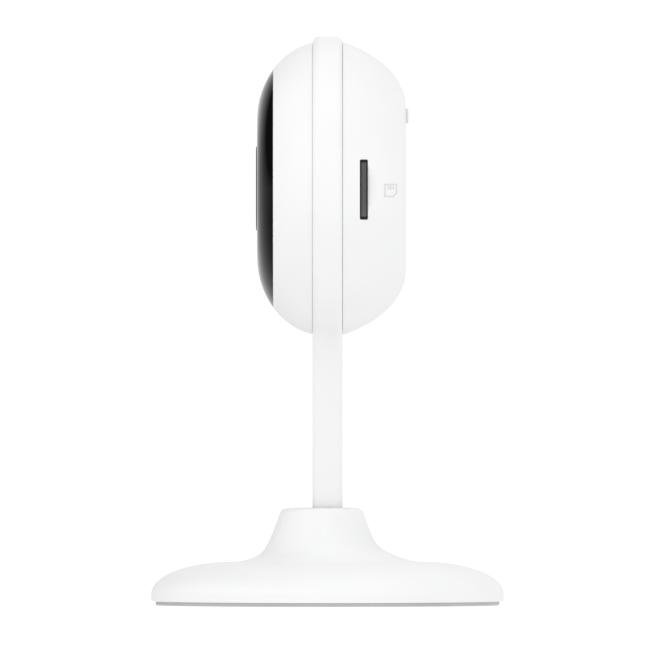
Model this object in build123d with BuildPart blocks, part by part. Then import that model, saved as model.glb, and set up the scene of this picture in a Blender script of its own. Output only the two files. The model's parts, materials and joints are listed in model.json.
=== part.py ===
"""Indoor security camera: a round head held in a hoop on a stem, which tilts in a weighted round foot.

Millimetres. +Z is up, the lens looks along -Y, and the origin is the centre of the foot's underside.
"""
from build123d import *
import math
import os

os.makedirs("parts", exist_ok=True)

# ---------------------------------------------------------------- driving dimensions
# Head outer form: a front and a rear elliptical arc, turned about the head axis.
HEAD_Z = 83.3            # height of the head axis
FACE_Y = -14.1           # front of the dark face
FRONT_ARC_Y = -0.35      # widest point of the front arc
FRONT_ARC_R = 13.6       # radius inside which the face is flat
FRONT_ARC_RISE = 15.85
BACK_Y = 15.65           # flat back of the head
REAR_ARC_Y = -9.6
REAR_ARC_R = 16.5        # radius inside which the back is flat
REAR_ARC_RISE = 14.8
SPLIT_Y = -10.85         # joint between dark face and white shell
SHELL_WALL = 1.8
FACE_WALL = 1.2

# Hoop and stem, one moulding.
ARM_T = 6.0              # depth of hoop and stem along Y
HOOP_R = 30.4
HOOP_BORE_R = 27.0
ARM_EDGE_R = 1.4
STEM_TOP_W = 12.6
STEM_FOOT_W = 8.4
STEM_FLARE_R = 9.0
GROOVE_W = 0.06          # reveal between hoop and shells
SHOULDER_R = 28.9        # floor of that reveal

# Tilt hinge in the neck.
PIVOT_Z = 14.5
PIN_R = 1.5
PIN_PLAY = 0.05
BARREL_R = 4.4
EAR_R = 3.2
EAR_T = 2.2
WASHER_T = 0.38
TILT_FRONT = 30.0        # degrees the head can look down
TILT_BACK = 15.0         # degrees the head can look up

# Foot.
FOOT_R = 35.3
FOOT_ARC_R = 19.5        # rim arc: centre radius, centre height and half axes
FOOT_ARC_Z = 2.3
FOOT_ARC_RISE = 6.3
FOOT_WALL = 1.8
PAD_T = 0.75
PAD_R = 34.4
NECK_Z = 19.4
NECK_SHIFT = 1.15        # the neck stands this far forward of the foot's centre
NECK_EXTRA_X = 3.4       # the neck is an oval, wider across than from front to back
NECK_START_Z = 8.5

# Head internals, depths along Y.
WEB_Y = -8.6             # front of the front shell's inner web
WEB_T = 1.4
LED_BOARD_Y = -10.4      # rear face of the lamp board
LED_BOARD_T = 0.8
BOARD_Y = 8.2            # front face of the main board
BOARD_T = 1.2
BOARD_R = 23.6
CARD_Y = 7.23            # middle plane of the memory card
CARD_Z = -0.35           # card centre below the head axis
BUTTON_Z = 14.5          # reset button above the head axis
PORT_Z = -12.0           # power inlet below the head axis
SPEAKER_Z = 2.0
TINY = 0.02              # play between parts that slide face to face

HEAD_AXIS = Axis((0, 0, HEAD_Z), (0, 1, 0))
HEAD_SECTION = Plane(origin=(0, 0, HEAD_Z), x_dir=(0, 1, 0), z_dir=(1, 0, 0))
DIAGONALS = [(x, z) for x in (-12.0, 12.0) for z in (-12.0, 12.0)]
BOARD_POSTS = [(-10.5, -19.0), (10.5, -19.0), (0.0, 20.5)]


# ---------------------------------------------------------------- planes and small features
def across_head(depth):
    """Plane across the head axis at a depth; extruding goes towards the front."""
    return Plane(origin=(0, depth, HEAD_Z), x_dir=(1, 0, 0), z_dir=(0, -1, 0))


def behind_head(depth):
    """Plane across the head axis at a depth; extruding goes towards the back."""
    return Plane(origin=(0, depth, HEAD_Z), x_dir=(1, 0, 0), z_dir=(0, 1, 0))


def level(height):
    """Horizontal plane; extruding goes up."""
    return Plane.XY.offset(height)


def under(height):
    """Horizontal plane; extruding goes down."""
    return Plane(origin=(0, 0, height), x_dir=(1, 0, 0), z_dir=(0, 0, -1))


def upright(side):
    """Plane across X through the tilt pivot; extruding goes towards +X."""
    return Plane(origin=(side, 0, PIVOT_Z), x_dir=(0, 1, 0), z_dir=(1, 0, 0))


def disc(plane, thickness, radius, centres=((0, 0),), mode=Mode.ADD):
    """Round slabs on a plane, joined to or cut from the part being built."""
    with BuildSketch(plane) as face:
        with Locations(*centres):
            Circle(radius)
    extrude(face.sketch, amount=thickness, mode=mode)


def ring(plane, thickness, outer, inner, centres=((0, 0),)):
    """Flat rings on a plane."""
    with BuildSketch(plane) as face:
        with Locations(*centres):
            Circle(outer)
            Circle(inner, mode=Mode.SUBTRACT)
    extrude(face.sketch, amount=thickness)


def block(plane, thickness, width, height, centres=((0, 0),), mode=Mode.ADD, corner=0):
    """Rectangular slabs on a plane, with rounded corners where a corner radius is given."""
    with BuildSketch(plane) as face:
        with Locations(*centres):
            if corner:
                RectangleRounded(width, height, corner)
            else:
                Rectangle(width, height)
    extrude(face.sketch, amount=thickness, mode=mode)


def screw(plane, head_r, head_t, shank_r, length, centres):
    """Pan head screws: heads rise from the plane, shanks go the other way, and a cross is cut in each."""
    disc(plane, head_t, head_r, centres)
    disc(plane, -length, shank_r, centres)
    crosses = plane.offset(head_t)
    block(crosses, -0.6 * head_t, 1.3 * head_r, 0.28 * head_r, centres, Mode.SUBTRACT)
    block(crosses, -0.6 * head_t, 0.28 * head_r, 1.3 * head_r, centres, Mode.SUBTRACT)


def window(low_y, high_y, low_r, high_r, mode=Mode.INTERSECT):
    """Rectangle in the head's half section, between two depths and two radii."""
    with Locations(((low_y + high_y) / 2, (low_r + high_r) / 2)):
        Rectangle(high_y - low_y, high_r - low_r, mode=mode)


def front_form(inset, mode=Mode.ADD):
    """Half section of the head's front, depth against radius, pulled in by an inset."""
    reach = FRONT_ARC_Y - FACE_Y - inset
    with Locations((FRONT_ARC_Y, FRONT_ARC_R)):
        Ellipse(reach, FRONT_ARC_RISE - inset, mode=mode)
    window(FRONT_ARC_Y - reach, FRONT_ARC_Y, 0, FRONT_ARC_R, mode)


def rear_form(inset, mode=Mode.ADD):
    """Half section of the head's rear, depth against radius, pulled in by an inset."""
    reach = BACK_Y - REAR_ARC_Y - inset
    with Locations((REAR_ARC_Y, REAR_ARC_R)):
        Ellipse(reach, REAR_ARC_RISE - inset, mode=mode)
    window(REAR_ARC_Y, REAR_ARC_Y + reach, 0, REAR_ARC_R, mode)


def front_surface_y(radius):
    """Depth of the outer front surface at a radius."""
    rise = max(radius - FRONT_ARC_R, 0) / FRONT_ARC_RISE
    return FRONT_ARC_Y - (FRONT_ARC_Y - FACE_Y) * math.sqrt(1 - rise**2)


# ---------------------------------------------------------------- dark face and window
WINDOW_R = 7.4
BEZEL_R = 8.5
APERTURE_R = 6.3
LIGHT_PIPE_Z = 17.4
MIC_Z = -16.4
SKIRT_R = 20.1

with BuildPart() as front_cover:
    with BuildSketch(HEAD_SECTION):
        front_form(0)
        front_form(FACE_WALL, Mode.SUBTRACT)
        window(FACE_Y - 1, SPLIT_Y, WINDOW_R + TINY, 30)
        window(SPLIT_Y - 1.0, SPLIT_Y + 1.5, SKIRT_R - 0.9, SKIRT_R, Mode.ADD)
    revolve(axis=HEAD_AXIS)
    disc(across_head(SPLIT_Y), 5, 0.62, [(0, LIGHT_PIPE_Z)], Mode.SUBTRACT)
    disc(across_head(SPLIT_Y), 5, 0.45, [(0, MIC_Z)], Mode.SUBTRACT)
front_cover.part.label = "front_cover"

with BuildPart() as lens_bezel:
    with BuildSketch(HEAD_SECTION):
        window(FACE_Y - 0.2, FACE_Y, APERTURE_R, BEZEL_R, Mode.ADD)
        window(FACE_Y, FACE_Y + 0.4, APERTURE_R, WINDOW_R, Mode.ADD)
    revolve(axis=HEAD_AXIS)
    chamfer(lens_bezel.edges().filter_by(GeomType.CIRCLE).group_by(Axis.Y)[0], 0.12)
lens_bezel.part.label = "lens_bezel"

with BuildPart() as lens_window:
    disc(across_head(FACE_Y + FACE_WALL), 0.8, WINDOW_R)
lens_window.part.label = "lens_window"

LENS_FRONT_Y = -12.2
with BuildPart() as lens_baffle:
    ring(across_head(LENS_FRONT_Y), LENS_FRONT_Y - FACE_Y - FACE_WALL, 7.2, 5.4)
lens_baffle.part.label = "lens_baffle"

# ---------------------------------------------------------------- lens, holder and day/night filter
THREAD_R = 6.0
FLANGE_R = 7.0
FLANGE_END_Y = -9.4
BARREL_END_Y = 3.0
HOLDER_TUBE_R = 8.0
HOLDER_TUBE_Y = -4.4
HOLDER_STEP_Y = 0.5
FILTER_Y = 4.9           # middle plane of the sliding filter
FILTER_T = 0.8
FILTER_PITCH = 6.2       # travel from the day pane to the night pane
PANE = 5.4
PANES = [(0, 0), (0, FILTER_PITCH)]
HOLDER_SCREWS = [(-9.2, 0), (9.2, 0)]

with BuildPart() as lens_barrel:
    with BuildSketch(HEAD_SECTION):
        window(LENS_FRONT_Y, FLANGE_END_Y, 0, FLANGE_R, Mode.ADD)
        window(FLANGE_END_Y, BARREL_END_Y, 0, THREAD_R - TINY, Mode.ADD)
        window(LENS_FRONT_Y, -6.0, 0, 5.0, Mode.SUBTRACT)
        window(-6.0, BARREL_END_Y, 0, 3.8, Mode.SUBTRACT)
    revolve(axis=HEAD_AXIS)
    chamfer(lens_barrel.edges().filter_by(GeomType.CIRCLE).group_by(Axis.Y)[0], 0.3)
lens_barrel.part.label = "lens_barrel"


def lens_element(front_y, back_y, radius, bulge):
    """Round glass element with a domed front."""
    with BuildSketch(HEAD_SECTION) as section:
        with BuildLine():
            Line((front_y - bulge, 0), (back_y, 0))
            Line((back_y, 0), (back_y, radius))
            Line((back_y, radius), (front_y, radius))
            RadiusArc((front_y, radius), (front_y - bulge, 0), -(radius**2 + bulge**2) / (2 * bulge))
        make_face()
    revolve(section.sketch, axis=HEAD_AXIS)


with BuildPart() as lens_elements:
    lens_element(-10.2, -8.8, 4.95, 1.4)
    lens_element(-7.6, -6.4, 4.95, 0.6)
    lens_element(-4.2, -2.8, 3.75, 0.7)
    lens_element(0.4, 2.2, 3.75, 0.5)
lens_elements.part.label = "lens_elements"

with BuildPart() as lens_lock_ring:
    with BuildSketch(across_head(HOLDER_TUBE_Y)):
        Circle(8.4)
        Circle(THREAD_R, mode=Mode.SUBTRACT)
        with PolarLocations(8.4, 12):
            Circle(0.5, mode=Mode.SUBTRACT)
    extrude(amount=1.6)
lens_lock_ring.part.label = "lens_lock_ring"

with BuildPart() as lens_holder:
    block(across_head(BOARD_Y), BOARD_Y - HOLDER_STEP_Y, 16, 22.4, corner=1.2)
    block(across_head(BOARD_Y), 1.6, 21.2, 4.6, corner=2.2)
    disc(across_head(HOLDER_STEP_Y), HOLDER_STEP_Y - HOLDER_TUBE_Y, HOLDER_TUBE_R)
    disc(across_head(3.6), 3.6 - HOLDER_TUBE_Y, THREAD_R, mode=Mode.SUBTRACT)
    disc(across_head(BOARD_Y), 6, 3.4, mode=Mode.SUBTRACT)
    block(across_head(BOARD_Y), 2.0, 10.4, 10.4, mode=Mode.SUBTRACT)
    block(across_head(FILTER_Y + 0.6), 1.2, 8.4, 20.2, mode=Mode.SUBTRACT)
    disc(across_head(BOARD_Y), 3, 0.8, HOLDER_SCREWS, Mode.SUBTRACT)
lens_holder.part.label = "lens_holder"

with BuildPart() as ir_cut_carriage:
    carriage_plane = across_head(FILTER_Y + FILTER_T / 2)
    block(carriage_plane, FILTER_T, 8.0, FILTER_PITCH + 7.2, [(0, FILTER_PITCH / 2)], corner=0.6)
    block(carriage_plane, FILTER_T, PANE, PANE, PANES, Mode.SUBTRACT)
ir_cut_carriage.part.label = "ir_cut_carriage"

with BuildPart() as ir_cut_panes:
    block(across_head(FILTER_Y + 0.2), 0.4, PANE, PANE, PANES)
ir_cut_panes.part.label = "ir_cut_panes"

with BuildPart() as ir_cut_coil:
    block(across_head(6.5), 5.0, 2.6, 7.0, [(-9.45, 5.6)], corner=0.5)
    block(across_head(6.5), 5.0, 2.9, 1.0, [(-9.45, 2.8), (-9.45, 8.4)])
ir_cut_coil.part.label = "ir_cut_coil"

with BuildPart() as image_sensor:
    block(across_head(BOARD_Y), 1.1, 7.6, 7.6)
    block(across_head(BOARD_Y - 1.1), -0.4, 6.2, 6.2, mode=Mode.SUBTRACT)
    block(across_head(BOARD_Y - 0.7), 0.15, 5.4, 3.6)
image_sensor.part.label = "image_sensor"

# ---------------------------------------------------------------- lamp board behind the dark face
LAMP_RING_R = 15.0
LAMP_ANGLES = [30, 60, 120, 150, 210, 240, 300, 330]
LAMP_TURNS = [math.radians(angle) for angle in LAMP_ANGLES]
LAMPS = [(LAMP_RING_R * math.cos(turn), LAMP_RING_R * math.sin(turn)) for turn in LAMP_TURNS]
LED_BOARD_FRONT = LED_BOARD_Y - LED_BOARD_T

with BuildPart() as led_board:
    ring(across_head(LED_BOARD_Y), LED_BOARD_T, 19.0, 9.4)
    disc(across_head(LED_BOARD_Y), LED_BOARD_T, 1.1, [(-17.0, 0), (17.0, 0)], Mode.SUBTRACT)
led_board.part.label = "led_board"

with BuildPart() as infrared_leds:
    block(across_head(LED_BOARD_FRONT), 0.6, 2.8, 2.8, LAMPS, corner=0.3)
    disc(across_head(LED_BOARD_FRONT - 0.6), 0.5, 1.1, LAMPS)
    fillet(infrared_leds.edges().filter_by(GeomType.CIRCLE).group_by(Axis.Y)[0], 0.45)
infrared_leds.part.label = "infrared_leds"

with BuildPart() as photocell:
    block(across_head(LED_BOARD_FRONT), 0.8, 2.0, 1.6, [(0, 13.0)], corner=0.2)
photocell.part.label = "photocell"

with BuildPart() as status_led:
    block(across_head(LED_BOARD_FRONT), 0.5, 1.6, 0.8, [(0, LIGHT_PIPE_Z)])
status_led.part.label = "status_led"

with BuildPart() as light_pipe:
    disc(across_head(LED_BOARD_FRONT - 0.5), 0.3, 1.0, [(0, LIGHT_PIPE_Z)])
    pipe_start = LED_BOARD_FRONT - 0.8
    disc(across_head(pipe_start), pipe_start - front_surface_y(LIGHT_PIPE_Z) - 0.05, 0.6, [(0, LIGHT_PIPE_Z)])
light_pipe.part.label = "light_pipe"

with BuildPart() as microphone:
    block(across_head(LED_BOARD_FRONT), 0.9, 3.5, 2.6, [(0, MIC_Z)])
    disc(across_head(LED_BOARD_FRONT - 0.9), -0.3, 0.4, [(0, MIC_Z)], Mode.SUBTRACT)
microphone.part.label = "microphone"

with BuildPart() as microphone_boot:
    ring(across_head(LED_BOARD_FRONT - 0.9), 0.3, 1.5, 0.45, [(0, MIC_Z)])
microphone_boot.part.label = "microphone_boot"

# ---------------------------------------------------------------- front shell
LIP_R = HOOP_BORE_R - 0.1
SHOULDER_Y = ARM_T / 2
SHOULDER_T = 0.9
CABLE_Z = 14.5
SCREW_BOSS_R = 2.6

with BuildPart() as front_shell:
    with BuildSketch(HEAD_SECTION):
        front_form(0)
        front_form(SHELL_WALL, Mode.SUBTRACT)
        window(SPLIT_Y, -SHOULDER_Y - GROOVE_W, 15, 31)
        window(-SHOULDER_Y - SHOULDER_T, -SHOULDER_Y, LIP_R - 0.4, SHOULDER_R, Mode.ADD)
        window(-6.4, -SHOULDER_Y, LIP_R - 0.4, HOOP_BORE_R + 0.6, Mode.ADD)
        window(-6.4, -1.0, LIP_R - 1.5, LIP_R, Mode.ADD)
        window(WEB_Y, WEB_Y + WEB_T, 8.8, 24.6, Mode.ADD)
    revolve(axis=HEAD_AXIS)
    disc(across_head(WEB_Y), WEB_Y - LED_BOARD_Y, 2.0, [(-17.0, 0), (17.0, 0)])
    disc(across_head(LED_BOARD_Y), LED_BOARD_T, 1.0, [(-17.0, 0), (17.0, 0)])
    disc(across_head(WEB_Y + WEB_T), WEB_T, 1.3, DIAGONALS, Mode.SUBTRACT)
    block(across_head(WEB_Y + WEB_T), WEB_T, 8.4, 2.0, [(0, CABLE_Z)], Mode.SUBTRACT)
front_shell.part.label = "front_shell"

# ---------------------------------------------------------------- rear shell
REAR_CAVITY_Y = BACK_Y - SHELL_WALL
BOSS_START_Y = WEB_Y + WEB_T
SLOT_W = 1.6             # card slot opening
SLOT_H = 12.0
BUTTON_R = 1.5
THUMB_R = 22.0           # ball that cuts the shallow fingernail scoop beside the card slot
THUMB_AT = (47.95, CARD_Y + 3.27, HEAD_Z + CARD_Z)
GRILLE_RINGS = [(0.0, 1), (1.8, 6), (3.6, 12), (5.4, 18)]

with BuildPart() as rear_cavity:
    with BuildSketch(HEAD_SECTION):
        rear_form(SHELL_WALL)
        window(SHOULDER_Y + 3.0, REAR_CAVITY_Y, 0, 31)
        window(0, SHOULDER_Y + 3.4, 0, LIP_R - 1.5, Mode.ADD)
    revolve(axis=HEAD_AXIS)
    disc(behind_head(BOSS_START_Y), 30, SCREW_BOSS_R, [(x, -z) for x, z in DIAGONALS], Mode.SUBTRACT)
    disc(behind_head(BOARD_Y + BOARD_T), 10, 2.0, [(x, -z) for x, z in BOARD_POSTS], Mode.SUBTRACT)

with BuildPart() as rear_shell:
    with BuildSketch(HEAD_SECTION):
        rear_form(0)
        window(SHOULDER_Y + GROOVE_W, BACK_Y, 0, 31)
        window(SHOULDER_Y, SHOULDER_Y + SHOULDER_T, 0, SHOULDER_R, Mode.ADD)
        window(1.0, 6.4, 0, LIP_R, Mode.ADD)
    revolve(axis=HEAD_AXIS)
    add(rear_cavity.part, mode=Mode.SUBTRACT)
    ring(across_head(1.5), 1.5 - BOSS_START_Y, SCREW_BOSS_R, 1.25, DIAGONALS)
    disc(across_head(9.0), 9.0 - BOSS_START_Y, 1.25, DIAGONALS, Mode.SUBTRACT)
    disc(across_head(13.0), 13.0 - BOARD_Y, 0.92, BOARD_POSTS, Mode.SUBTRACT)
    disc(across_head(BACK_Y + 1), 4, BUTTON_R + 0.1, [(0, BUTTON_Z)], Mode.SUBTRACT)
    block(across_head(BACK_Y + 1), 4, 8.0, 3.3, [(0, PORT_Z)], Mode.SUBTRACT, corner=0.6)
    block(across_head(BACK_Y + 1), 1.9, 11.4, 6.6, [(0, PORT_Z)], Mode.SUBTRACT, corner=1.6)
    for ring_r, count in GRILLE_RINGS:
        with BuildSketch(across_head(BACK_Y + 1)) as holes:
            with Locations((0, SPEAKER_Z)):
                with PolarLocations(ring_r, count):
                    Circle(0.5)
        extrude(holes.sketch, amount=4, mode=Mode.SUBTRACT)
    slot_plane = Plane(origin=(22.0, CARD_Y, HEAD_Z + CARD_Z), x_dir=(0, 1, 0), z_dir=(1, 0, 0))
    block(slot_plane, 10, SLOT_W, SLOT_H, mode=Mode.SUBTRACT, corner=0.3)
    with BuildSketch(slot_plane) as scoop_side:
        with Locations((5, 0)):
            Rectangle(10, SLOT_H)
    scoop_half = extrude(scoop_side.sketch, amount=10, mode=Mode.PRIVATE)
    thumb_ball = Pos(*THUMB_AT) * Sphere(THUMB_R, mode=Mode.PRIVATE)
    add(thumb_ball & scoop_half, mode=Mode.SUBTRACT)
rear_shell.part.label = "rear_shell"

# ---------------------------------------------------------------- main board and what stands on it
BOARD_BACK = BOARD_Y + BOARD_T

with BuildPart() as main_board:
    disc(across_head(BOARD_BACK), BOARD_T, BOARD_R)
    disc(across_head(BOARD_BACK), BOARD_T, SCREW_BOSS_R + 0.3, DIAGONALS, Mode.SUBTRACT)
    disc(across_head(BOARD_BACK), BOARD_T, 1.0, BOARD_POSTS + HOLDER_SCREWS, Mode.SUBTRACT)
main_board.part.label = "main_board"

with BuildPart() as processor_shield:
    block(across_head(BOARD_Y), 1.6, 9.6, 14.0, [(-16.2, 0)], corner=0.4)
processor_shield.part.label = "processor_shield"

with BuildPart() as thermal_pad:
    block(across_head(BOARD_Y - 1.6), 1.0, 9.0, 13.0, [(-16.2, 0)])
thermal_pad.part.label = "thermal_pad"

with BuildPart() as heat_spreader:
    block(across_head(BOARD_Y - 2.6), 0.8, 9.6, 18.0, [(-16.2, 0)], corner=1.0)
heat_spreader.part.label = "heat_spreader"

with BuildPart() as wifi_module:
    block(across_head(BOARD_Y), 0.8, 12.0, 9.0, [(0, -17.4)])
    block(across_head(BOARD_Y - 0.8), 1.2, 9.0, 8.0, [(0, -17.4)], corner=0.3)
wifi_module.part.label = "wifi_module"

with BuildPart() as capacitors:
    disc(across_head(BOARD_Y), 5.4, 2.0, [(-7.0, 17.0), (7.0, 17.0)])
    fillet(capacitors.edges().filter_by(GeomType.CIRCLE).group_by(Axis.Y)[0], 0.4)
capacitors.part.label = "capacitors"

with BuildPart() as power_chips:
    block(behind_head(BOARD_BACK), 1.1, 4.0, 4.0, [(-15.5, -4.0), (-15.5, 4.0)])
    block(behind_head(BOARD_BACK), 1.8, 5.0, 5.0, [(15.5, 0.0)], corner=0.6)
power_chips.part.label = "power_chips"

# Card socket, open towards +X, and the card in it.
SOCKET_IN_X = 10.7
SOCKET_OUT_X = 23.4
CARD_L = 15.0
CARD_W = 11.0
CARD_T = 0.7
CARD_END_X = 26.9

with BuildPart() as card_socket:
    socket_mid = (SOCKET_IN_X + SOCKET_OUT_X) / 2
    block(across_head(BOARD_Y), 1.9, SOCKET_OUT_X - SOCKET_IN_X, 13.0, [(socket_mid, CARD_Z)])
    block(across_head(CARD_Y + 0.6), 1.2, SOCKET_OUT_X - SOCKET_IN_X, 11.3, [(socket_mid + 0.5, CARD_Z)],
          Mode.SUBTRACT)
card_socket.part.label = "card_socket"

with BuildPart() as memory_card:
    with BuildSketch(across_head(CARD_Y + CARD_T / 2)):
        with Locations((CARD_END_X - CARD_L / 2, CARD_Z)):
            Rectangle(CARD_L, CARD_W)
        with Locations((CARD_END_X - 9.4, CARD_Z - CARD_W / 2)):
            Rectangle(1.4, 1.4, mode=Mode.SUBTRACT)
    extrude(amount=CARD_T)
    block(across_head(CARD_Y + 0.5), 1.0, 1.3, CARD_W, [(CARD_END_X - 0.65, CARD_Z)])
    fillet(memory_card.edges().filter_by(Axis.Y).sort_by(Axis.X)[-2:], 0.5)
memory_card.part.label = "memory_card"

GUIDE_IN_X = 23.6
GUIDE_OUT_X = 26.7

with BuildPart() as card_guide:
    guide_plane = Plane(origin=(GUIDE_IN_X, CARD_Y, HEAD_Z + CARD_Z), x_dir=(0, 1, 0), z_dir=(1, 0, 0))
    block(guide_plane, GUIDE_OUT_X - GUIDE_IN_X, SLOT_W - TINY, SLOT_H - TINY, corner=0.3)
    block(guide_plane, GUIDE_OUT_X - GUIDE_IN_X, 1.2, CARD_W + 0.2, mode=Mode.SUBTRACT)
card_guide.part.label = "card_guide"

# Power inlet: metal shell with its contact tongue, opening at the back.
with BuildPart() as usb_socket:
    with BuildSketch(behind_head(BOARD_BACK)):
        with Locations((0, -PORT_Z)):
            RectangleRounded(7.6, 2.9, 0.7)
    extrude(amount=14.75 - BOARD_BACK)
    block(behind_head(BOARD_BACK + 0.6), 6, 7.0, 2.3, [(0, -PORT_Z)], Mode.SUBTRACT, corner=0.5)
usb_socket.part.label = "usb_socket"

with BuildPart() as usb_tongue:
    block(behind_head(BOARD_BACK + 0.6), 0.8, 6.8, 2.1, [(0, -PORT_Z)], corner=0.4)
    block(behind_head(BOARD_BACK + 1.4), 3.0, 3.8, 0.6, [(0, -PORT_Z)])
usb_tongue.part.label = "usb_tongue"

# Reset button and the switch that it presses.
SWITCH_T = 1.6
PLUNGER_END_Y = 11.7
BUTTON_PROUD = 0.55
BUTTON_TRAVEL = 0.35

with BuildPart() as reset_button:
    with BuildSketch(HEAD_SECTION):
        window(13.0, 13.7, 0, 2.4, Mode.ADD)
        window(13.7, BACK_Y + BUTTON_PROUD, 0, BUTTON_R, Mode.ADD)
        window(PLUNGER_END_Y + TINY, 13.0, 0, 0.8, Mode.ADD)
    revolve(axis=HEAD_AXIS)
    fillet(reset_button.edges().filter_by(GeomType.CIRCLE).group_by(Axis.Y)[-1], 0.3)
reset_button.part = Pos(0, 0, BUTTON_Z) * reset_button.part
reset_button.part.label = "reset_button"

with BuildPart() as tact_switch:
    block(behind_head(BOARD_BACK), SWITCH_T, 3.5, 3.5, [(0, -BUTTON_Z)], corner=0.3)
    disc(behind_head(BOARD_BACK + 0.7), 3, 0.95, [(0, -BUTTON_Z)], Mode.SUBTRACT)
tact_switch.part.label = "tact_switch"

with BuildPart() as tact_plunger:
    disc(across_head(PLUNGER_END_Y), PLUNGER_END_Y - BOARD_BACK - 1.2, 0.9, [(0, BUTTON_Z)])
tact_plunger.part.label = "tact_plunger"

# Speaker against the back wall, with its foam ring.
SPEAKER_AT = [(0, -SPEAKER_Z)]
SPEAKER_R = 8.6

with BuildPart() as speaker_magnet:
    disc(behind_head(BOARD_BACK + 0.1), 1.5, 4.6, SPEAKER_AT)
speaker_magnet.part.label = "speaker_magnet"

with BuildPart() as speaker_frame:
    ring(behind_head(11.0), 0.6, SPEAKER_R, 3.0, SPEAKER_AT)
    ring(behind_head(11.6), 1.5, SPEAKER_R, 7.8, SPEAKER_AT)
speaker_frame.part.label = "speaker_frame"

with BuildPart() as speaker_cone:
    with BuildSketch(HEAD_SECTION):
        with BuildLine():
            Polyline((12.6, 7.8), (12.9, 7.8), (13.05, 6.6), (12.9, 5.4), (11.95, 2.2), (12.5, 0), (12.2, 0),
                     (11.65, 2.2), (12.6, 5.4), (12.75, 6.6), close=True)
        make_face()
    revolve(axis=HEAD_AXIS)
speaker_cone.part = Pos(0, 0, SPEAKER_Z) * speaker_cone.part
speaker_cone.part.label = "speaker_cone"

with BuildPart() as speaker_gasket:
    ring(behind_head(13.1), REAR_CAVITY_Y - 13.1, SPEAKER_R, 7.4, SPEAKER_AT)
speaker_gasket.part.label = "speaker_gasket"

# Antenna patch on the web, its lead to the radio, and the ribbon between the two boards.
ANTENNA_Y = WEB_Y + WEB_T + 0.3

with BuildPart() as antenna:
    block(across_head(ANTENNA_Y), 0.3, 7.0, 20.0, [(-19.6, 0)], corner=1.0)
antenna.part.label = "antenna"

LEAD_R = 0.5
lead_points = [(-19.6, -6.4, -6.0), (-19.6, -3.0, -6.0), (-21.0, 2.0, -11.0), (-14.0, 4.6, -18.0),
               (-8.0, 5.2, -19.6), (-4.0, 5.6, -18.6)]
lead_radii = [1.5, 3.0, 3.0, 3.0]
with BuildPart() as antenna_lead:
    with BuildLine() as lead_path:
        FilletPolyline(*[(x, y, HEAD_Z + z) for x, y, z in lead_points], radius=lead_radii)
    with BuildSketch(Plane(origin=lead_path.line @ 0, z_dir=lead_path.line % 0)):
        Circle(LEAD_R)
    sweep()
antenna_lead.part.label = "antenna_lead"

with BuildPart() as ribbon_cable:
    with BuildSketch(HEAD_SECTION):
        with BuildLine():
            FilletPolyline((LED_BOARD_Y, CABLE_Z), (-5.8, CABLE_Z), (-3.6, CABLE_Z + 3.4),
                           (3.4, CABLE_Z + 3.4), (5.6, CABLE_Z), (BOARD_Y, CABLE_Z), radius=1.1)
        trace(line_width=0.3)
    extrude(amount=3.5, both=True)
ribbon_cable.part.label = "ribbon_cable"

with BuildPart() as head_screws:
    screw(across_head(WEB_Y), 2.2, 1.3, 1.2, 11.0, DIAGONALS)
head_screws.part.label = "head_screws"

with BuildPart() as board_screws:
    screw(across_head(BOARD_Y), 1.7, 1.0, 0.9, 4.6, BOARD_POSTS)
board_screws.part.label = "board_screws"

with BuildPart() as holder_screws:
    screw(behind_head(BOARD_BACK), 1.4, 0.7, 0.75, 3.6, HOLDER_SCREWS)
holder_screws.part.label = "holder_screws"

# ---------------------------------------------------------------- hoop and stem
with BuildPart() as arm:
    with BuildSketch(Plane.XZ.offset(-ARM_T / 2)) as arm_outline:
        with BuildLine():
            Polyline((-STEM_FOOT_W / 2, PIVOT_Z), (STEM_FOOT_W / 2, PIVOT_Z), (STEM_FOOT_W / 2, NECK_Z),
                     (STEM_TOP_W / 2, HEAD_Z), (-STEM_TOP_W / 2, HEAD_Z), (-STEM_FOOT_W / 2, NECK_Z),
                     close=True)
        make_face()
        with Locations((0, HEAD_Z)):
            Circle(HOOP_R)
        fillet(arm_outline.vertices().group_by(Axis.Y)[2], STEM_FLARE_R)
    extrude(amount=ARM_T)
    rim_edges = arm.faces().sort_by(Axis.Y)[0].edges() + arm.faces().sort_by(Axis.Y)[-1].edges()
    fillet(rim_edges.sort_by(Axis.Z)[2:], ARM_EDGE_R)
    disc(across_head(ARM_T / 2 + 1), ARM_T + 2, HOOP_BORE_R, mode=Mode.SUBTRACT)
    disc(upright(-STEM_FOOT_W / 2), STEM_FOOT_W, BARREL_R)
    disc(upright(-STEM_FOOT_W / 2), STEM_FOOT_W, PIN_R + PIN_PLAY, mode=Mode.SUBTRACT)
arm.part.label = "arm"

# ---------------------------------------------------------------- tilt hinge
EAR_IN_X = STEM_FOOT_W / 2 + WASHER_T + 2 * TINY
EAR_OUT_X = EAR_IN_X + EAR_T
CRADLE_T = 1.6
ROOF_Z = FOOT_ARC_Z + FOOT_ARC_RISE - FOOT_WALL     # flat inside of the foot, where the cradle sits
CRADLE_Z = ROOF_Z - CRADLE_T
CRADLE_R = 17.0
CRADLE_SCREWS = [(x, y) for x in (-10.2, 10.2) for y in (-10.2, 10.2)]
SPRING_WASHER_T = 0.5
NUT_T = 2.0

with BuildPart() as hinge_cradle:
    disc(level(CRADLE_Z), CRADLE_T, CRADLE_R)
    disc(level(CRADLE_Z), CRADLE_T, 1.1, CRADLE_SCREWS, Mode.SUBTRACT)
    for side in (-EAR_OUT_X, EAR_IN_X):
        with BuildSketch(upright(side)) as ear:
            Circle(EAR_R)
            with Locations((0, (CRADLE_Z - PIVOT_Z) / 2)):
                Rectangle(2 * EAR_R, PIVOT_Z - CRADLE_Z)
            Circle(PIN_R, mode=Mode.SUBTRACT)
        extrude(ear.sketch, amount=EAR_T)
hinge_cradle.part.label = "hinge_cradle"

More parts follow.
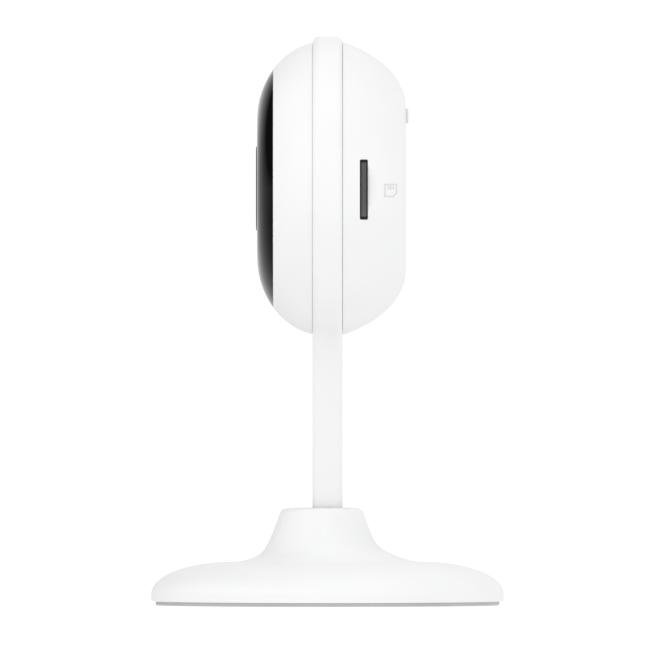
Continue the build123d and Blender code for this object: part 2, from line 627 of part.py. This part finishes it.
with BuildPart() as hinge_pin:
    disc(upright(-EAR_OUT_X - 1.2), 1.2, 2.6)
    disc(upright(-EAR_OUT_X), 2 * EAR_OUT_X + SPRING_WASHER_T + NUT_T, PIN_R - TINY)
    block(upright(-EAR_OUT_X - 1.2), 0.6, 3.2, 0.6, mode=Mode.SUBTRACT)
hinge_pin.part.label = "hinge_pin"

with BuildPart() as friction_washers:
    for side in (-STEM_FOOT_W / 2 - WASHER_T - TINY, STEM_FOOT_W / 2 + TINY):
        ring(upright(side), WASHER_T, 3.1, PIN_R)
friction_washers.part.label = "friction_washers"

with BuildPart() as spring_washer:
    ring(upright(EAR_OUT_X), SPRING_WASHER_T, 2.8, PIN_R)
spring_washer.part.label = "spring_washer"

with BuildPart() as hinge_nut:
    with BuildSketch(upright(EAR_OUT_X + SPRING_WASHER_T)):
        RegularPolygon(2.9, 6)
        Circle(PIN_R, mode=Mode.SUBTRACT)
    extrude(amount=NUT_T)
hinge_nut.part.label = "hinge_nut"

with BuildPart() as cradle_screws:
    screw(under(CRADLE_Z), 1.9, 1.1, 1.0, CRADLE_T + 1.9, [(x, -y) for x, y in CRADLE_SCREWS])
cradle_screws.part.label = "cradle_screws"

# ---------------------------------------------------------------- foot
PLATE_T = 2.0
PLATE_R = 33.3
NECK_WALL = 1.8
NECK_TOP_T = 1.5
NECK_EDGE_R = 1.1
NECK_LEVELS = [NECK_START_Z, 9.0, 9.6, 10.4, 11.4, 12.6, 14.0, 15.4, 16.6, 17.5, NECK_Z - NECK_EDGE_R]
SLOT_PLAY = 0.2          # between the tilted stem and the end of its slot
FOOT_SCREWS = [(x, y) for x in (-14.4, 14.4) for y in (-14.4, 14.4)]
CORNER = (Align.MIN, Align.MIN)


def neck_radius(height):
    """Half depth of the neck: a straight cone with a flare that grows towards the foot."""
    cone = 8.85 + 0.344 * (17.0 - height)
    flare = 2.67 * math.exp((9.8 - height) / 1.36)
    return cone + flare


def neck_centre(height):
    """How far forward the neck stands at a height: centred on the foot at its root, shifted above."""
    return -NECK_SHIFT * (1 - math.exp(-(max(height - 9.0, 0) / 2.0) ** 2))


def neck(sections):
    """Loft of ovals that follow the neck's outer form, each given by its height and inset."""
    for height, inset in sections:
        with BuildSketch(level(height)) as oval:
            with Locations((0, neck_centre(height))):
                half_depth = neck_radius(height) - inset
                Ellipse(half_depth + NECK_EXTRA_X, half_depth)
        add(oval.sketch)
    loft()


def foot_form(inset):
    """Half section of the foot, radius against height, pulled in by an inset."""
    flat_top = FOOT_ARC_Z + FOOT_ARC_RISE - inset
    with Locations((FOOT_ARC_R, FOOT_ARC_Z)):
        Ellipse(FOOT_R - FOOT_ARC_R - inset, FOOT_ARC_RISE - inset)
    with Locations((0, PAD_T)):
        Rectangle(FOOT_R - inset, FOOT_ARC_Z - PAD_T, align=CORNER)
        Rectangle(FOOT_ARC_R, flat_top - PAD_T, align=CORNER)


with BuildPart() as foot_cavity:
    with BuildSketch(Plane.XZ):
        foot_form(FOOT_WALL)
        with Locations((0, PAD_T - 1)):
            Rectangle(FOOT_R - FOOT_WALL, ROOF_Z + 1 - PAD_T, align=CORNER, mode=Mode.INTERSECT)
    revolve(axis=Axis.Z)
    disc(level(PAD_T + PLATE_T), ROOF_Z - PLATE_T - PAD_T, 2.8, FOOT_SCREWS, Mode.SUBTRACT)

with BuildPart() as neck_cavity:
    neck([(height, NECK_WALL) for height in (9.4, 10.4, 13.0, NECK_Z - NECK_TOP_T)])
    disc(level(ROOF_Z - 0.2), 9.4 - ROOF_Z + 0.2, neck_radius(9.4) - NECK_WALL)

edge_z = NECK_Z - NECK_EDGE_R
edge_turns = [math.radians(angle) for angle in (0, 25, 50, 72, 90)]


def slot_reach(degrees):
    """How far from the pivot the neck's slot reaches, so that the stem clears it when tilted."""
    turn = math.radians(degrees)
    return ARM_T / 2 / math.cos(turn) + (NECK_Z - PIVOT_Z) * math.tan(turn) + SLOT_PLAY


slot_front = slot_reach(TILT_FRONT)
slot_back = slot_reach(TILT_BACK)

with BuildPart() as base_shell:
    with BuildSketch(Plane.XZ):
        foot_form(0)
        with Locations((0, PAD_T)):
            Rectangle(FOOT_R, 20, align=CORNER, mode=Mode.INTERSECT)
    revolve(axis=Axis.Z)
    neck([(height, 0) for height in NECK_LEVELS])
    neck([(edge_z + NECK_EDGE_R * math.sin(turn), NECK_EDGE_R * (1 - math.cos(turn))) for turn in edge_turns])
    add(foot_cavity.part, mode=Mode.SUBTRACT)
    add(neck_cavity.part, mode=Mode.SUBTRACT)
    with BuildSketch(level(NECK_Z - NECK_TOP_T - 1)) as slot:
        with Locations((0, (slot_back - slot_front) / 2)):
            RectangleRounded(STEM_FOOT_W + 1.3, slot_front + slot_back, 1.2)
    extrude(slot.sketch, amount=5, mode=Mode.SUBTRACT)
    disc(level(ROOF_Z - 0.1), 2.1, 1.02, CRADLE_SCREWS, Mode.SUBTRACT)
    disc(level(PAD_T + PLATE_T - 0.1), 4.2, 0.97, FOOT_SCREWS, Mode.SUBTRACT)
base_shell.part.label = "base_shell"

with BuildPart() as base_plate:
    disc(level(PAD_T), PLATE_T, PLATE_R)
    disc(level(PAD_T), 1.2, 2.2, FOOT_SCREWS, Mode.SUBTRACT)
    disc(level(PAD_T), PLATE_T, 1.1, FOOT_SCREWS, Mode.SUBTRACT)
    disc(level(PAD_T), 0.3, 10.0, mode=Mode.SUBTRACT)
base_plate.part.label = "base_plate"

with BuildPart() as ballast:
    ring(level(PAD_T + PLATE_T), 2.7, 30.5, 23.8)
    chamfer(ballast.edges().filter_by(GeomType.CIRCLE).group_by(Axis.Z)[-1].sort_by(SortBy.LENGTH)[-1], 1.9)
ballast.part.label = "ballast"

with BuildPart() as base_screws:
    screw(under(PAD_T + 1.2), 2.0, 1.0, 0.95, 4.6, [(x, -y) for x, y in FOOT_SCREWS])
base_screws.part.label = "base_screws"

with BuildPart() as foot_pad:
    ring(level(0), PAD_T, PAD_R, 24.0)
    chamfer(foot_pad.edges().filter_by(GeomType.CIRCLE).group_by(Axis.Z)[0], 0.15)
foot_pad.part.label = "foot_pad"

# ---------------------------------------------------------------- export
PIECES = [
    front_cover, lens_bezel, lens_window, lens_baffle, lens_barrel, lens_elements, lens_lock_ring,
    lens_holder, ir_cut_carriage, ir_cut_panes, ir_cut_coil, image_sensor, led_board, infrared_leds,
    photocell, status_led, light_pipe, microphone, microphone_boot, front_shell, rear_shell, main_board,
    processor_shield, thermal_pad, heat_spreader, wifi_module, capacitors, power_chips, card_socket,
    card_guide, memory_card, usb_socket, usb_tongue, reset_button, tact_switch, tact_plunger, speaker_magnet,
    speaker_frame, speaker_cone, speaker_gasket, antenna, antenna_lead, ribbon_cable, head_screws,
    board_screws, holder_screws, arm, hinge_cradle, hinge_pin, friction_washers, spring_washer,
    hinge_nut, cradle_screws, base_shell, base_plate, ballast, base_screws, foot_pad,
]

for piece in PIECES:
    export_step(piece.part, f"parts/{piece.part.label}.step")
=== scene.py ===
"""Looks of the indoor security camera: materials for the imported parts, the card symbol, studio and camera.

Metres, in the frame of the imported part: +Z up, the lens looks along -Y, the card slot is on the +X side.
"""

import json
import math

import bmesh
import bpy
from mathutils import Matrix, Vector


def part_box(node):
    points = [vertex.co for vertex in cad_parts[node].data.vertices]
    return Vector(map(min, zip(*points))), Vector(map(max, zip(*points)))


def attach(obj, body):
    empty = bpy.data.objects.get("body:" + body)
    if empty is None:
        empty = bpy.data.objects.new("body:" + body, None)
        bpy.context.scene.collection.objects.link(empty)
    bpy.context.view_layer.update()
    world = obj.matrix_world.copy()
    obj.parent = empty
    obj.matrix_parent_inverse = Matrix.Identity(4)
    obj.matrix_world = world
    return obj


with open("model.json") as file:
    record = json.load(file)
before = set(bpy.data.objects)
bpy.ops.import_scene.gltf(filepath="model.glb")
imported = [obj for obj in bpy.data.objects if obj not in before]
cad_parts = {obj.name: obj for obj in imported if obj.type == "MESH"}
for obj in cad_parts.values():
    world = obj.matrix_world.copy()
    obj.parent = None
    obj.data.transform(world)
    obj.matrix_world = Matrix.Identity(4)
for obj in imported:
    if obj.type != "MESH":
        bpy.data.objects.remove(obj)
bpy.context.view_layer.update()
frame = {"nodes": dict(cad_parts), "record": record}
MM = 0.001


# ---------------------------------------------------------------- material building
MIX_FIRST = 6     # sockets of a Mix node that mixes colours
MIX_SECOND = 7
MIX_RESULT = 2


class Look:
    """A procedural material with one Principled shader, built up step by step."""

    def __init__(self, name, **sockets):
        self.name = name
        self.material = bpy.data.materials.new(name)
        self.material.use_nodes = True
        self.tree = self.material.node_tree
        self.shader = self.tree.nodes["Principled BSDF"]
        for socket, value in sockets.items():
            self.shader.inputs[socket.replace("_", " ")].default_value = value
        coordinates = self.tree.nodes.new("ShaderNodeTexCoord")
        self.place = coordinates.outputs["Object"]

    def link(self, output, target):
        self.tree.links.new(output, target)

    def stretched(self, x, y, z):
        """Object coordinates stretched along each axis, for grain with a direction."""
        mapping = self.tree.nodes.new("ShaderNodeMapping")
        mapping.inputs["Scale"].default_value = (x, y, z)
        self.link(self.place, mapping.inputs["Vector"])
        return mapping.outputs["Vector"]

    def noise(self, size, detail=2.0, place=None):
        """Noise whose features are about a size in metres."""
        node = self.tree.nodes.new("ShaderNodeTexNoise")
        node.inputs["Scale"].default_value = 1 / size
        node.inputs["Detail"].default_value = detail
        self.link(place or self.place, node.inputs["Vector"])
        return node.outputs["Fac"]

    def voronoi(self, size, feature="F1"):
        """Distances in cells of about a size in metres."""
        node = self.tree.nodes.new("ShaderNodeTexVoronoi")
        node.feature = feature
        node.inputs["Scale"].default_value = 1 / size
        self.link(self.place, node.inputs["Vector"])
        return node.outputs["Distance"]

    def remap(self, value, low, high, out_low=0.0, out_high=1.0):
        """Linear remap of a value, clamped."""
        node = self.tree.nodes.new("ShaderNodeMapRange")
        node.inputs["From Min"].default_value = low
        node.inputs["From Max"].default_value = high
        node.inputs["To Min"].default_value = out_low
        node.inputs["To Max"].default_value = out_high
        self.link(value, node.inputs["Value"])
        return node.outputs["Result"]

    def mix(self, factor, first, second):
        """Colour between two, by a factor. Each colour is a tuple or another mix."""
        node = self.tree.nodes.new("ShaderNodeMix")
        node.data_type = "RGBA"
        self.link(factor, node.inputs["Factor"])
        for colour, socket in ((first, node.inputs[MIX_FIRST]), (second, node.inputs[MIX_SECOND])):
            if isinstance(colour, tuple):
                socket.default_value = (*colour, 1.0)
            else:
                self.link(colour, socket)
        return node.outputs[MIX_RESULT]

    def colour(self, output):
        self.link(output, self.shader.inputs["Base Color"])

    def rough(self, output):
        self.link(output, self.shader.inputs["Roughness"])

    def bump(self, *layers):
        """Bump from layers of (height output, depth in metres), one on the other."""
        normal = None
        for height, depth in layers:
            node = self.tree.nodes.new("ShaderNodeBump")
            node.inputs["Strength"].default_value = 1.0
            node.inputs["Distance"].default_value = depth
            self.link(height, node.inputs["Height"])
            if normal is not None:
                self.link(normal, node.inputs["Normal"])
            normal = node.outputs["Normal"]
        self.link(normal, self.shader.inputs["Normal"])


def moulded(name, light, dark, rough_low, rough_high, texture=0.18 * MM, depth=0.003 * MM, **sockets):
    """Moulded plastic or rubber: faint mottling, uneven gloss and a fine spark-eroded texture."""
    look = Look(name, **sockets)
    look.colour(look.mix(look.remap(look.noise(14 * MM, detail=3.0), 0.35, 0.65), light, dark))
    look.rough(look.remap(look.noise(3.5 * MM, detail=4.0), 0.3, 0.7, rough_low, rough_high))
    waves_depth = 0.006 * MM
    look.bump((look.noise(texture), depth), (look.noise(9 * MM, detail=1.0), waves_depth))
    return look


def polished(name, light, dark, rough_low, rough_high, **sockets):
    """Polished plastic: a nearly flat surface with faint wiping marks in its gloss."""
    look = Look(name, **sockets)
    look.colour(look.mix(look.noise(20 * MM), light, dark))
    wiped = look.noise(4 * MM, detail=3.0, place=look.stretched(1.0, 1.0, 0.25))
    look.rough(look.remap(wiped, 0.35, 0.75, rough_low, rough_high))
    waves_depth = 0.002 * MM
    look.bump((look.noise(12 * MM, detail=1.0), waves_depth))
    return look


def metal(name, light, dark, rough_low, rough_high, stretch=(1.0, 1.0, 1.0), grain=0.5 * MM):
    """Metal with a directional grain where it is stretched."""
    look = Look(name, Metallic=1.0)
    brushed = look.noise(grain, detail=4.0, place=look.stretched(*stretch))
    look.colour(look.mix(look.remap(brushed, 0.3, 0.7), light, dark))
    look.rough(look.remap(brushed, 0.3, 0.7, rough_low, rough_high))
    grain_depth = 0.004 * MM
    look.bump((brushed, grain_depth))
    return look


def glassy(name, tint, ior, rough_low=0.0, rough_high=0.03, **sockets):
    """Clear part of a tint and an index of refraction, with a little dust in its gloss."""
    look = Look(name, IOR=ior, Transmission_Weight=1.0, **sockets)
    duller_tint = tuple(channel * 0.97 for channel in tint)
    look.colour(look.mix(look.noise(10 * MM), tint, duller_tint))
    dust = look.noise(3 * MM)
    look.rough(look.remap(dust, 0.45, 0.75, rough_low, rough_high))
    return look


def circuit_board():
    """Green solder mask over copper: tracks show as lighter lines, with small bare pads."""
    look = Look("circuit_board", Coat_Weight=0.4, Coat_Roughness=0.15)
    track_edges = look.voronoi(2.2 * MM, feature="DISTANCE_TO_EDGE")
    tracks = look.remap(track_edges, 0.02, 0.05, out_low=1.0, out_high=0.0)
    mask = look.mix(look.noise(6 * MM), (0.012, 0.115, 0.05), (0.018, 0.15, 0.07))
    tracked = look.mix(tracks, mask, (0.04, 0.24, 0.11))
    pads = look.remap(look.voronoi(1.6 * MM), 0.10, 0.13, out_low=1.0, out_high=0.0)
    look.colour(look.mix(pads, tracked, (0.75, 0.62, 0.35)))
    look.rough(look.remap(pads, 0.0, 1.0, out_low=0.45, out_high=0.25))
    track_depth = 0.02 * MM
    look.bump((tracks, track_depth))
    return look


# Each one is named after a material slot of the part. Two colours to mottle between come first, or a tint,
# and the lowest and highest roughness follow.
ALL_LOOKS = (
    moulded("white_plastic", (0.83, 0.832, 0.838), (0.815, 0.817, 0.824), 0.36, 0.46),
    moulded("base_plastic", (0.72, 0.72, 0.725), (0.69, 0.69, 0.695), 0.5, 0.62,
            texture=0.3 * MM, depth=0.006 * MM),
    polished("black_face", (0.003, 0.003, 0.0035), (0.005, 0.0045, 0.005), 0.04, 0.07, IOR=1.47),
    polished("bezel", (0.008, 0.008, 0.009), (0.014, 0.014, 0.015), 0.08, 0.14, IOR=1.49),
    glassy("clear_glass", (0.97, 0.98, 0.98), ior=1.45),
    glassy("coated_glass", (0.5, 0.53, 0.6), ior=1.6, rough_low=0.1, rough_high=0.13,
           Thin_Film_Thickness=105.0, Thin_Film_IOR=1.38),
    glassy("filter_glass", (0.75, 0.93, 0.95), ior=1.5,
           Thin_Film_Thickness=380.0, Thin_Film_IOR=2.1),
    moulded("black_foam", (0.012, 0.012, 0.012), (0.03, 0.03, 0.03), 0.85, 0.98,
            texture=0.3 * MM, depth=0.05 * MM),
    metal("lens_metal", (0.03, 0.03, 0.032), (0.02, 0.02, 0.021), 0.35, 0.5),
    metal("brass_ring", (0.78, 0.6, 0.28), (0.62, 0.46, 0.2), 0.2, 0.35, stretch=(1.0, 12.0, 1.0)),
    moulded("black_plastic", (0.008, 0.008, 0.009), (0.012, 0.012, 0.013), 0.45, 0.6),
    metal("copper", (0.78, 0.36, 0.2), (0.55, 0.22, 0.1), 0.25, 0.4,
          stretch=(1.0, 8.0, 1.0), grain=0.2 * MM),
    polished("sensor", (0.03, 0.035, 0.05), (0.05, 0.05, 0.07), 0.08, 0.2),
    circuit_board(),
    polished("led_lens", (0.75, 0.76, 0.8), (0.6, 0.6, 0.64), 0.04, 0.12),
    polished("clear_plastic", (0.8, 0.82, 0.85), (0.72, 0.74, 0.78), 0.1, 0.2),
    metal("shield_metal", (0.66, 0.66, 0.65), (0.5, 0.5, 0.5), 0.22, 0.4, stretch=(1.0, 6.0, 1.0)),
    moulded("rubber_boot", (0.02, 0.02, 0.02), (0.03, 0.03, 0.03), 0.6, 0.8),
    moulded("thermal_silicone", (0.33, 0.42, 0.52), (0.28, 0.36, 0.45), 0.6, 0.8),
    metal("aluminium", (0.8, 0.8, 0.81), (0.66, 0.66, 0.67), 0.25, 0.4, stretch=(1.0, 1.0, 10.0)),
    moulded("card_plastic", (0.075, 0.075, 0.078), (0.11, 0.11, 0.112), 0.42, 0.6),
    moulded("button_plastic", (0.73, 0.735, 0.74), (0.7, 0.705, 0.71), 0.4, 0.5),
    moulded("cone_film", (0.02, 0.02, 0.022), (0.035, 0.035, 0.038), 0.35, 0.5),
    moulded("antenna_film", (0.02, 0.02, 0.02), (0.04, 0.035, 0.03), 0.4, 0.55),
    moulded("lead_jacket", (0.03, 0.03, 0.03), (0.05, 0.05, 0.05), 0.4, 0.5),
    moulded("ribbon_film", (0.75, 0.77, 0.8), (0.6, 0.62, 0.66), 0.3, 0.45),
    metal("screw_steel", (0.6, 0.6, 0.6), (0.42, 0.42, 0.43), 0.25, 0.42, stretch=(1.0, 1.0, 3.0)),
    metal("hinge_steel", (0.62, 0.62, 0.63), (0.48, 0.48, 0.5), 0.25, 0.42, stretch=(1.0, 1.0, 12.0)),
    moulded("washer_plastic", (0.7, 0.7, 0.66), (0.62, 0.62, 0.58), 0.4, 0.55),
    metal("ballast_steel", (0.4, 0.39, 0.38), (0.26, 0.25, 0.25), 0.35, 0.6),
    moulded("foot_rubber", (0.5, 0.5, 0.505), (0.45, 0.45, 0.455), 0.62, 0.8,
            texture=0.25 * MM, depth=0.008 * MM),
)
LOOKS = {look.name: look for look in ALL_LOOKS}

slot_of = {part["node"]: part["material_slot"] for part in frame["record"]["subparts"]}
for node, part in frame["nodes"].items():
    for slot in part.material_slots:
        slot.material = LOOKS[slot_of[node]].material


# ---------------------------------------------------------------- card symbol beside the slot
# The rear shell's outer form is an elliptical arc turned about the head axis, which runs along Y.
shell_low, shell_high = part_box("rear_shell")
HEAD_Z = (shell_low.z + shell_high.z) / 2
ARC_DEPTH = -9.6 * MM    # centre of the arc along Y, and the radius it starts from
ARC_FROM = 16.5 * MM
ARC_REACH = shell_high.y - ARC_DEPTH
ARC_RISE = 14.8 * MM

SYMBOL_LINE = 0.22 * MM
SYMBOL_THICKNESS = 0.03 * MM
STROKE_STEPS = 6                     # lengths that a stroke is cut into, to follow the shell
CORNER_CUT = 0.3                     # share of the width that the cut corner takes off
CONTACT_PLACES = (-0.22, 0.0, 0.22)  # of the contacts, as shares of the width
CONTACT_ENDS = (0.12, 0.36)          # of each contact, as shares of the height


def on_shell(y, z, lift):
    """Point on the rear shell's +X side at a depth and height, lifted off the surface."""
    reached = (y - ARC_DEPTH) / ARC_REACH
    risen = math.sqrt(1 - reached**2)
    radius = ARC_FROM + ARC_RISE * risen
    height = z - HEAD_Z
    outward = Vector((math.sqrt(radius**2 - height**2), 0, height)).normalized()
    slope = ARC_RISE / ARC_REACH * reached / risen
    normal = (outward + Vector((0, slope, 0))).normalized()
    return Vector((0, y, HEAD_Z)) + outward * radius + normal * lift


def add_stroke(mesh, centre, begin, end):
    """Thin closed strip laid on the shell, between two points that are given from the symbol's centre."""
    step = Vector((end[0] - begin[0], end[1] - begin[1]))
    along = step.normalized()
    across = Vector((-along.y, along.x)) * SYMBOL_LINE / 2
    start = Vector(begin) - along * SYMBOL_LINE / 2
    run = step + along * SYMBOL_LINE
    y, z = centre
    rows = []
    for i in range(STROKE_STEPS + 1):
        middle = start + run * i / STROKE_STEPS
        corners = [(middle + across, 0.0), (middle - across, 0.0),
                   (middle - across, SYMBOL_THICKNESS), (middle + across, SYMBOL_THICKNESS)]
        rows.append([mesh.verts.new(on_shell(y + at.x, z + at.y, lift)) for at, lift in corners])
    for low, high in zip(rows, rows[1:]):
        for a in range(len(low)):
            b = (a + 1) % len(low)
            mesh.faces.new((low[a], low[b], high[b], high[a]))
    mesh.faces.new(rows[0][::-1])
    mesh.faces.new(rows[-1])


def card_symbol(centre, width, height):
    """Printed outline of a memory card, with one corner cut and three contacts."""
    cut = CORNER_CUT * width
    outline = [(-width / 2, -height / 2), (width / 2 - cut, -height / 2), (width / 2, -height / 2 + cut),
               (width / 2, height / 2), (-width / 2, height / 2)]
    strokes = list(zip(outline, outline[1:] + outline[:1]))
    for place in CONTACT_PLACES:
        strokes.append([(place * width, end * height) for end in CONTACT_ENDS])
    mesh = bmesh.new()
    for begin, end in strokes:
        add_stroke(mesh, centre, begin, end)
    bmesh.ops.recalc_face_normals(mesh, faces=mesh.faces)
    data = bpy.data.meshes.new("card_symbol")
    mesh.to_mesh(data)
    mesh.free()
    symbol = bpy.data.objects.new("card_symbol", data)
    bpy.context.scene.collection.objects.link(symbol)
    data.materials.append(moulded("printed_ink", (0.68, 0.68, 0.69), (0.62, 0.62, 0.63), 0.5, 0.6).material)
    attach(symbol, "camera_head")


card_symbol((12.6 * MM, HEAD_Z - 0.5 * MM), width=2.3 * MM, height=2.4 * MM)


# ---------------------------------------------------------------- studio
MIDDLE = Vector((0, -0.5 * MM, 56.0 * MM))


def area_light(name, at, size, power):
    """Square soft box at a place, aimed at the middle of the object. It gives light, but isn't reflected."""
    data = bpy.data.lights.new(name, "AREA")
    data.shape = "SQUARE"
    data.size = size
    data.energy = power
    light = bpy.data.objects.new(name, data)
    light.location = at
    light.rotation_euler = (MIDDLE - Vector(at)).to_track_quat("-Z", "Y").to_euler()
    light.visible_glossy = False
    bpy.context.scene.collection.objects.link(light)


def studio_floor(size, drop):
    """Plain pale floor a hair under the object. It glows a little, so that it runs into the white. Only the
    camera sees it, and only from above, so that the underside can be looked at: the white surroundings
    light the object in its place."""
    data = bpy.data.meshes.new("floor")
    half = size / 2
    corners = [(-half, -half, -drop), (half, -half, -drop), (half, half, -drop), (-half, half, -drop)]
    data.from_pydata(corners, [], [(0, 1, 2, 3)])
    floor = bpy.data.objects.new("floor", data)
    bpy.context.scene.collection.objects.link(floor)
    look = Look("floor", Roughness=1.0, Specular_IOR_Level=0.0, Emission_Strength=0.25,
                Emission_Color=(1.0, 1.0, 1.0, 1.0))
    look.colour(look.mix(look.noise(400 * MM), (0.92, 0.92, 0.92), (0.91, 0.91, 0.91)))
    side = look.tree.nodes.new("ShaderNodeNewGeometry")
    clear = look.tree.nodes.new("ShaderNodeBsdfTransparent")
    either = look.tree.nodes.new("ShaderNodeMixShader")
    look.link(side.outputs["Backfacing"], either.inputs["Fac"])
    look.link(look.shader.outputs["BSDF"], either.inputs[1])
    look.link(clear.outputs["BSDF"], either.inputs[2])
    look.link(either.outputs["Shader"], look.tree.nodes["Material Output"].inputs["Surface"])
    data.materials.append(look.material)
    floor.visible_diffuse = False
    floor.visible_glossy = False
    floor.visible_transmission = False
    floor.visible_shadow = False


class Surroundings:
    """White world that can give light, be reflected and be seen at different strengths."""

    def __init__(self):
        world = bpy.data.worlds.new("studio")
        bpy.context.scene.world = world
        world.use_nodes = True
        self.tree = world.node_tree
        self.tree.nodes.clear()
        coordinates = self.tree.nodes.new("ShaderNodeTexCoord")
        self.direction = coordinates.outputs["Generated"]
        self.path = self.tree.nodes.new("ShaderNodeLightPath")

    def math(self, operation, first, second):
        """Result of an operation on two values. Each value is a number or another result."""
        node = self.tree.nodes.new("ShaderNodeMath")
        node.operation = operation
        for value, socket in ((first, node.inputs[0]), (second, node.inputs[1])):
            if isinstance(value, float):
                socket.default_value = value
            else:
                self.tree.links.new(value, socket)
        return node.outputs[0]

    def plus(self, strength, share, amount):
        """A strength with a share of an amount added to it."""
        return self.math("ADD", strength, self.math("MULTIPLY", share, amount))

    def towards(self, x, y, z):
        """How far the direction points towards another one: its cosine, or zero."""
        node = self.tree.nodes.new("ShaderNodeVectorMath")
        node.operation = "DOT_PRODUCT"
        self.tree.links.new(self.direction, node.inputs[0])
        node.inputs[1].default_value = Vector((x, y, z)).normalized()
        return self.math("MAXIMUM", node.outputs["Value"], 0.0)

    def glow(self, x, y, z, width, strength):
        """Soft round light patch about a direction, which fades out at a width in degrees from it."""
        node = self.tree.nodes.new("ShaderNodeMapRange")
        node.interpolation_type = "SMOOTHSTEP"
        node.inputs["From Min"].default_value = math.cos(math.radians(width))
        node.inputs["To Max"].default_value = strength
        self.tree.links.new(self.towards(x, y, z), node.inputs["Value"])
        return node.outputs["Result"]

    def shade(self, strength):
        """White background of a strength, which is a number or a result."""
        node = self.tree.nodes.new("ShaderNodeBackground")
        node.inputs["Color"].default_value = (1.0, 1.0, 1.0, 1.0)
        if isinstance(strength, float):
            node.inputs["Strength"].default_value = strength
        else:
            self.tree.links.new(strength, node.inputs["Strength"])
        return node.outputs["Background"]

    def blend(self, ray, first, second):
        """The first background, and the second one in its place for a kind of ray."""
        node = self.tree.nodes.new("ShaderNodeMixShader")
        self.tree.links.new(self.path.outputs[ray], node.inputs["Fac"])
        self.tree.links.new(first, node.inputs[1])
        self.tree.links.new(second, node.inputs[2])
        return node.outputs["Shader"]

    def show(self, light, gloss, seen):
        """Gives the world the strengths at which it gives light, is reflected and is seen."""
        lit = self.blend("Is Glossy Ray", self.shade(light), self.shade(gloss))
        output = self.tree.nodes.new("ShaderNodeOutputWorld")
        self.tree.links.new(self.blend("Is Camera Ray", lit, self.shade(seen)), output.inputs["Surface"])


def surround(light, light_above, light_below, gloss_side, gloss_front, gloss_above, gloss_under, gloss_least,
             seen):
    """Light that weakens above and below, and reflections that are white at the sides and behind, darker in
    front of the lens and darkest above and under the front, with one soft light patch beside the lens."""
    sky = Surroundings()
    front = sky.towards(0.0, -1.0, 0.0)
    up = sky.towards(0.0, 0.0, 1.0)
    down = sky.towards(0.0, 0.0, -1.0)
    lit = sky.plus(light, down, light_below - light)
    lit = sky.plus(lit, up, light_above - light)
    gloss = sky.plus(gloss_side, front, gloss_front - gloss_side)
    gloss = sky.plus(gloss, sky.math("MULTIPLY", front, up), gloss_above)
    gloss = sky.plus(gloss, sky.math("MULTIPLY", front, down), gloss_under)
    gloss = sky.math("MAXIMUM", gloss, gloss_least)
    patch = sky.glow(x=0.75, y=-0.55, z=0.45, width=34.0, strength=0.8)
    sky.show(lit, sky.math("ADD", gloss, patch), seen)


studio_floor(size=1.2, drop=0.1 * MM)
surround(light=1.11, light_above=0.91, light_below=1.07, gloss_side=0.9, gloss_front=0.1, gloss_above=-2.6,
         gloss_under=-0.5, gloss_least=0.005, seen=1.05)
area_light("key", (0.75, -0.75, 0.45), size=0.6, power=0.7)
area_light("front", (0.25, -0.85, 0.8), size=0.6, power=1.05)
area_light("fill", (0.75, 0.75, 0.35), size=0.6, power=0.4)
area_light("top", (0.45, 0.0, 1.0), size=0.35, power=0.95)
bpy.context.scene.view_settings.view_transform = "Standard"

# ---------------------------------------------------------------- camera, square on to the side
VIEW_HEIGHT = 130.0 * MM
LENS = 1500           # so long that next to no perspective shows
SENSOR_WIDTH = 36
SIGHT = 3             # how far it sees, in camera distances

camera_data = bpy.data.cameras.new("camera")
camera_data.lens = LENS
camera_data.sensor_width = SENSOR_WIDTH
distance = VIEW_HEIGHT * LENS / SENSOR_WIDTH
camera_data.clip_end = SIGHT * distance
camera = bpy.data.objects.new("camera", camera_data)
camera.location = MIDDLE + Vector((distance, 0, 0))
camera.rotation_euler = (math.radians(90), 0, math.radians(90))
bpy.context.scene.collection.objects.link(camera)
bpy.context.scene.camera = camera
